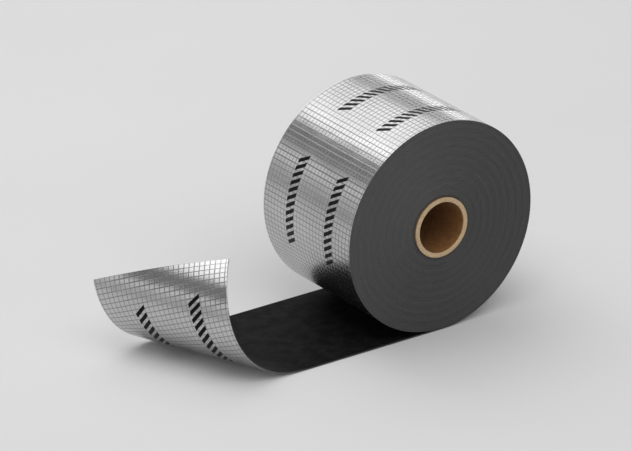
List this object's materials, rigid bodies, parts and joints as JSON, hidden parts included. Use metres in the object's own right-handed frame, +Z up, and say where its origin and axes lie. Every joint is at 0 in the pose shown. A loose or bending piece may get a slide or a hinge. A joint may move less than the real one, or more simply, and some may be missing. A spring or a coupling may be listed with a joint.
{
  "type": "roll of damp proof course",
  "caption": "Foil-faced membrane strip wound on a cardboard tube, its free end laid flat and curled up at a slant.",
  "frame": {"origin": "on the roll's axis, halfway along the tube's bore and halfway across the strip", "axes": "+Y along the roll's axis, away from the end that the picture shows; -X the way the free end lies; +Z up"},
  "size_m": [0.4255, 0.1729, 0.23],
  "materials": {
    "membrane": "matt, with a foil face",
    "tube": "matt"
  },
  "bodies": {
    "root": {"membrane_strip": "membrane", "core_tube": "tube"}
  },
  "joints": []
}
